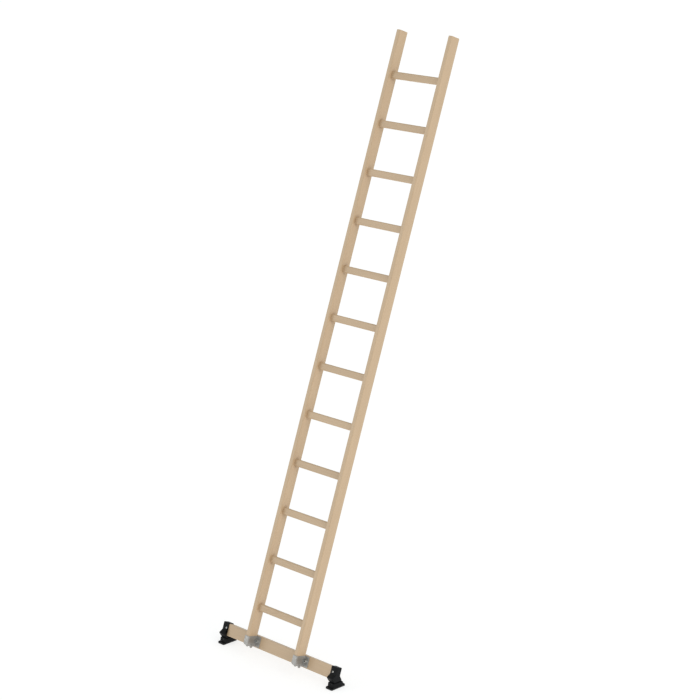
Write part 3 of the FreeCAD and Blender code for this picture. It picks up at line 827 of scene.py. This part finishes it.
def fasten(name, mesh, places, node, seed, body="ladder", axis=DEPTHWARDS):
    """Stand a zinc-plated fastener at its places and hand the copies to the frame."""
    piece = set_out(name, mesh, places, axis, "zinc_plated", CLOCKING, seed)
    place_piece(piece, body, [node])


def fronts(found):
    """Where the front of each fastener is."""
    return [row_point(one.centre.x, one.front, one.centre.z) for one in found]


def nut_shape(name, flats, height, thread_radius):
    """A hexagon nut, chamfered at both ends, with a countersunk thread."""
    sink_depth = 0.7 * MM
    mouth = thread_radius + 0.5 * MM
    step = 0.35 * MM
    slope = 1.7
    steps = 5
    start = flats / 2 * 0.97
    chamfer = [(hexagonal(flats, start + i * step * slope), i * step) for i in range(steps + 1)]
    rings = [(thread_radius, sink_depth), (mouth, 0), *chamfer]
    rings += [(radius, height - z) for radius, z in chamfer[::-1]]
    rings += [(mouth, height), (thread_radius, height - sink_depth)]
    return lathe(name, rings, 96, closed=False)


def fasten_nuts(name, node, thread_radius, seed):
    """Stand a hexagon nut in the place of each of a node's nuts."""
    low, high = ladder_box(node)
    mesh = nut_shape(name, high.z - low.z, high.y - low.y, thread_radius)
    fasten(name, mesh, fronts(fasteners(node)), node, seed)


def washer_shape(name, bore, radius, thickness):
    """A flat washer with its edges eased."""
    ease = 0.25 * MM
    rings = [(bore, ease), (bore + ease, 0), (radius - ease, 0), (radius, ease)]
    rings += [(r, thickness - z) for r, z in rings[::-1]]
    return lathe(name, rings, 64, closed=False)


# ---- Operators -------------------------------------------------------------------------
class LADDER_OT_timber(bpy.types.Operator):
    """Finish the stiles, rungs and crossbar in clear-lacquered softwood"""

    bl_idname = "ladder.timber"
    bl_label = "Finish the timber"

    def execute(self, context):
        for node in ("stile_left", "stile_right"):
            dress(frame["nodes"][node], "stile_wood")
        for node in RUNGS:
            dress(frame["nodes"][node], "rung_wood")
        dress(frame["nodes"]["crossbar"], "crossbar_wood")
        return {"FINISHED"}


class LADDER_OT_brackets(bpy.types.Operator):
    """Make the folded galvanised brackets that tie the stiles to the crossbar"""

    bl_idname = "ladder.brackets"
    bl_label = "Make the stile brackets"

    def execute(self, context):
        width = context.scene.ladder_metal.fold_softness
        for side in SIDES:
            softened("bracket_" + side, "folded_bracket_" + side, "ladder",
                     "galvanised", width)
        return {"FINISHED"}


class LADDER_OT_bracket_bolts(bpy.types.Operator):
    """Make the knurled socket-head bolts, their washers and their nuts"""

    bl_idname = "ladder.bracket_bolts"
    bl_label = "Make the bracket bolts"

    def execute(self, context):
        settings = context.scene.ladder_metal
        seed = settings.clocking_seed
        bolts = fasteners("bracket_bolts")
        nuts = fasteners("bracket_nuts")
        washers = fasteners("bracket_washers")
        head = bolts[0].radius
        seat = min(washer.front for washer in washers)
        top = bolts[0].front - seat              # heights run from the seat to the bolt's end
        length = bolts[0].back - seat
        shank = head * 5 / 8
        socket = head                            # width across the socket's flats
        corner = corner_radius(socket)
        pitch = settings.thread_pitch
        depth = pitch / 2
        ridge = knurled(head, settings.knurl_ridges, 0.28 * MM)
        hub = 0.3 * MM                           # flat ends close on a ring as small as this
        bevel = 0.5 * MM                         # depth of the bevel at the socket's mouth
        thread_start = nuts[0].back - seat - 1.2 * MM
        rings = [
            (hub, top / 2), (hexagonal(socket), top / 2), (hexagonal(socket), top + bevel),
            (corner + bevel / 2, top), (head - 0.9 * MM, top), (head - 0.45 * MM, top + 0.25 * MM),
            (ridge, top + 0.8 * MM), (ridge, -0.9 * MM), (head - 0.3 * MM, -0.5 * MM),
            (head - 0.4 * MM, 0), (shank, 0), (shank, thread_start - 0.2 * MM),
            *thread_rings(shank, thread_start, length - 0.6 * MM, pitch, depth, 22),
            (shank - depth - 0.3 * MM, length), (hub, length)]
        mesh = lathe("socket_bolt", rings, 120)
        mark_recess(mesh, corner, top + 0.4 * MM, 0)
        places = [row_point(bolt.centre.x, seat, bolt.centre.z) for bolt in bolts]
        fasten("socket_head_bolts", mesh, places, "bracket_bolts", seed)

        thickness = washers[0].back - washers[0].front
        mesh = washer_shape("flat_washer", shank + 0.5 * MM, washers[0].radius, thickness)
        fasten("flat_washers", mesh, fronts(washers), "bracket_washers", seed)
        fasten_nuts("bracket_hex_nuts", "bracket_nuts", shank, seed + 3)
        return {"FINISHED"}


class LADDER_OT_shoe_bolts(bpy.types.Operator):
    """Make the button-head bolts and nuts that hold the shoe holders on the crossbar"""

    bl_idname = "ladder.shoe_bolts"
    bl_label = "Make the shoe bolts"

    def execute(self, context):
        seed = context.scene.ladder_metal.clocking_seed
        bolts = fasteners("shoe_bolts")
        head = bolts[0].radius
        shank = head / 2
        head_height = head * 0.6
        seat = bolts[0].front + head_height      # heights run from the seat to the bolt's end
        length = bolts[0].back - seat
        socket = head * 2 / 3                    # width across the socket's flats
        corner = corner_radius(socket)
        mouth_radius = corner + 0.1 * MM
        hub = 0.2 * MM                           # flat ends close on a ring as small as this
        rim = 0.5 * MM                           # straight side under the dome
        pitch = 1.0 * MM
        crown = [(radius, -rim - z) for radius, z in dome(head, head_height - rim, 0, 14)
                 if radius > mouth_radius]
        mouth = crown[-1][1] - 0.05 * MM
        rings = [
            (hub, -head_height / 2), (hexagonal(socket), -head_height / 2),
            (hexagonal(socket), mouth + 0.25 * MM), (mouth_radius, mouth), *crown[::-1],
            (head - 0.1 * MM, -0.1 * MM), (head - 0.25 * MM, 0), (shank, 0),
            (shank, length - 2.6 * MM),
            *thread_rings(shank, length - 2.5 * MM, length - 0.4 * MM, pitch, pitch / 2, 12),
            (shank - 0.7 * MM, length), (hub, length)]
        mesh = lathe("button_bolt", rings, 72)
        mark_recess(mesh, corner, mouth + 0.2 * MM, 0)
        places = [row_point(bolt.centre.x, seat, bolt.centre.z) for bolt in bolts]
        fasten("button_head_bolts", mesh, places, "shoe_bolts", seed + 1)
        fasten_nuts("shoe_hex_nuts", "shoe_nuts", shank, seed + 2)
        return {"FINISHED"}


class LADDER_OT_stop_pins(bpy.types.Operator):
    """Make the domed rivets that the stiles stand on"""

    bl_idname = "ladder.stop_pins"
    bl_label = "Make the stop pins"

    def execute(self, context):
        places = []
        for side in SIDES:
            low, high = ladder_box("stop_pin_" + side)
            places.append(row_point(*(low + high) / 2))
        head = (high.z - low.z) / 2
        half = (high.x - low.x) / 2
        shank = head * 8 / 11
        head_height = 2.0 * MM
        side_height = 0.6 * MM                   # of the head's side, under its dome
        under = half - head_height
        crown = dome(head - 0.3 * MM, head_height - side_height, under + side_height, 8)
        end = [(shank, under), (head - 0.2 * MM, under), (head, under + 0.3 * MM), *crown]
        rings = [(radius, -z) for radius, z in end[::-1]] + end
        mesh = lathe("stop_rivet", rings, 48)
        piece = set_out("stop_rivets", mesh, places, (1, 0, 0), "pin_steel")
        place_piece(piece, "ladder", ["stop_pin_left", "stop_pin_right"])
        return {"FINISHED"}


class LADDER_OT_holders(bpy.types.Operator):
    """Make the moulded holders on the crossbar's ends"""

    bl_idname = "ladder.holders"
    bl_label = "Make the shoe holders"

    def execute(self, context):
        width = context.scene.ladder_plastic.moulded_edge
        for side in SIDES:
            softened("shoe_holder_" + side, "moulded_holder_" + side, "ladder",
                     "nylon", width)
        return {"FINISHED"}


class LADDER_OT_tilting_joint(bpy.types.Operator):
    """Make the two-way blocks and finish their pins"""

    bl_idname = "ladder.tilting_joint"
    bl_label = "Make the tilting joints"

    def execute(self, context):
        for side in SIDES:
            softened("tilt_block_" + side, "two_way_block_" + side, "tilt_block_" + side,
                     "block_nylon", 0.3 * MM)
            dress(frame["nodes"]["tilt_pin_" + side], "pin_steel")
            dress(frame["nodes"]["roll_pin_" + side], "pin_steel")
        return {"FINISHED"}


class LADDER_OT_shoes(bpy.types.Operator):
    """Make the moulded shoes and their rubber soles"""

    bl_idname = "ladder.shoes"
    bl_label = "Make the shoes"

    def execute(self, context):
        settings = context.scene.ladder_plastic
        for side in SIDES:
            softened("shoe_" + side, "moulded_shoe_" + side, "shoe_" + side,
                     "nylon", settings.moulded_edge)
            softened("sole_pad_" + side, "rubber_sole_" + side, "shoe_" + side,
                     "rubber", settings.rubber_edge)
        return {"FINISHED"}


class LADDER_OT_sole_screws(bpy.types.Operator):
    """Make the sunk screws that hold the soles on"""

    bl_idname = "ladder.sole_screws"
    bl_label = "Make the sole screws"

    def execute(self, context):
        seed = context.scene.ladder_metal.clocking_seed
        for side in SIDES:
            solids = [spans(s) for s in separate_solids("sole_screws_" + side)]
            low, high = solids[0]
            head = (high.x - low.x) / 2
            shank = head / 2
            length = high.z - low.z
            head_height = 1.6 * MM
            socket = 2.5 * MM                    # width across the socket's flats
            socket_floor = 0.9 * MM
            hub = 0.1 * MM                       # flat ends close on a ring as small as this
            rings = [
                (hub, socket_floor), (hexagonal(socket), socket_floor),
                (hexagonal(socket), 0.1 * MM), (corner_radius(socket) + 0.15 * MM, 0),
                (head - 0.5 * MM, 0), (head - 0.1 * MM, 0.4 * MM), (head - 0.1 * MM, head_height),
                (shank, head_height), (shank, length - 0.4 * MM), (shank - 0.5 * MM, length),
                (hub, length)]
            mesh = lathe("sole_screw", rings, 48)
            places = [Vector(((a.x + b.x) / 2, (a.y + b.y) / 2, a.z)) for a, b in solids]
            fasten("sunk_screws_" + side, mesh, places, "sole_screws_" + side, seed,
                   "shoe_" + side, (0, 0, 1))
        return {"FINISHED"}


FLOOR_GAP = 0.2 * MM             # the floor lies this far under the soles
SKY = (0.955, 0.995, 1, 1)
SENSOR_WIDTH = 36.0

# Each sun's name, strength, colour, spread in degrees and the way that its light goes.
SUNS = (
    ("key_right", 0.69, (1.0, 0.94, 0.88), 40.0, (-0.86, 0.10, -0.50)),
    ("glint_left", 0.24, (1.0, 1.0, 1.0), 24.0, (0.681, 0.695, -0.233)),
)


class LADDER_OT_stage(bpy.types.Operator):
    """Lay the pale floor, hang the soft lights and set up the camera"""

    bl_idname = "ladder.stage"
    bl_label = "Set the stage"

    def execute(self, context):
        scene = context.scene
        settings = scene.ladder_stage
        mix = Recipe("pale_floor")
        speckle = mix.noise(mix.place, 3.0, 4.0, 0.6)
        tint = tuple(settings.floor_colour)
        mix.finish(Base_Color=mix.blend(mix.graded(speckle, 0.3, 0.7, 0.0, 1.0), tint,
                                        toned(tint, 0.995)),
                   Roughness=0.95, Specular_IOR_Level=0.05, Emission_Color=(1, 1, 1),
                   Emission_Strength=settings.floor_lift)
        half = settings.floor_size / 2
        ground = bpy.data.meshes.new("pale_floor")
        corners = [(-half, -half, 0), (half, -half, 0), (half, half, 0), (-half, half, 0)]
        ground.from_pydata(corners, [], [(0, 1, 2, 3)])
        ground.materials.append(mix.material)
        floor = new_piece("pale_floor", ground)
        floor.location.z = -FLOOR_GAP

        world = bpy.data.worlds.new("soft_surround")
        world.use_nodes = True
        sky = world.node_tree.nodes["Background"]
        sky.inputs["Color"].default_value = SKY
        sky.inputs["Strength"].default_value = settings.surround
        scene.world = world

        for name, strength, tint, spread, direction in SUNS:
            lamp = bpy.data.lights.new(name, "SUN")
            lamp.energy = strength
            lamp.color = tint
            lamp.angle = math.radians(spread)
            hung = bpy.data.objects.new(name, lamp)
            hung.rotation_mode = "QUATERNION"
            hung.rotation_quaternion = Vector(direction).to_track_quat("-Z", "Y")
            scene.collection.objects.link(hung)

        eye = bpy.data.cameras.new("main_camera")
        eye.sensor_width = SENSOR_WIDTH
        eye.lens = settings.lens
        eye.clip_start = 0.1
        eye.clip_end = 500.0
        camera = bpy.data.objects.new("main_camera", eye)
        level = math.cos(settings.elevation)
        back = Vector((math.sin(settings.azimuth) * level, -math.cos(settings.azimuth) * level,
                       math.sin(settings.elevation)))
        camera.location = Vector(settings.aim) + back * settings.distance
        camera.rotation_mode = "QUATERNION"
        camera.rotation_quaternion = (-back).to_track_quat("-Z", "Y")
        scene.collection.objects.link(camera)
        scene.camera = camera
        scene.view_settings.view_transform = "Standard"
        scene.view_settings.look = "None"
        return {"FINISHED"}


OPERATORS = (LADDER_OT_timber, LADDER_OT_brackets, LADDER_OT_bracket_bolts, LADDER_OT_shoe_bolts,
             LADDER_OT_stop_pins, LADDER_OT_holders, LADDER_OT_tilting_joint, LADDER_OT_shoes,
             LADDER_OT_sole_screws, LADDER_OT_stage)


class LADDER_PT_panel(bpy.types.Panel):
    """The ladder's settings and steps"""

    bl_idname = "LADDER_PT_panel"
    bl_label = "Wooden ladder"
    bl_space_type = "VIEW_3D"
    bl_region_type = "UI"
    bl_category = "Ladder"

    def draw(self, context):
        for settings in SETTINGS:
            group = getattr(context.scene, settings)
            box = self.layout.box()
            for name in group.__annotations__:
                box.prop(group, name)
        for operator in OPERATORS:
            self.layout.operator(operator.bl_idname)


SETTINGS = {"ladder_timber": TimberSettings, "ladder_metal": MetalSettings,
            "ladder_plastic": PlasticSettings, "ladder_stage": StageSettings}


def register():
    for kind in (*SETTINGS.values(), *OPERATORS, LADDER_PT_panel):
        bpy.utils.register_class(kind)
    for name, kind in SETTINGS.items():
        setattr(bpy.types.Scene, name, PointerProperty(type=kind))


def unregister():
    for name in SETTINGS:
        delattr(bpy.types.Scene, name)
    for kind in (LADDER_PT_panel, *reversed(OPERATORS), *SETTINGS.values()):
        bpy.utils.unregister_class(kind)


def main():
    register()
    for operator in OPERATORS:
        group, name = operator.bl_idname.split(".")
        getattr(getattr(bpy.ops, group), name)()


if __name__ == "__main__":
    main()
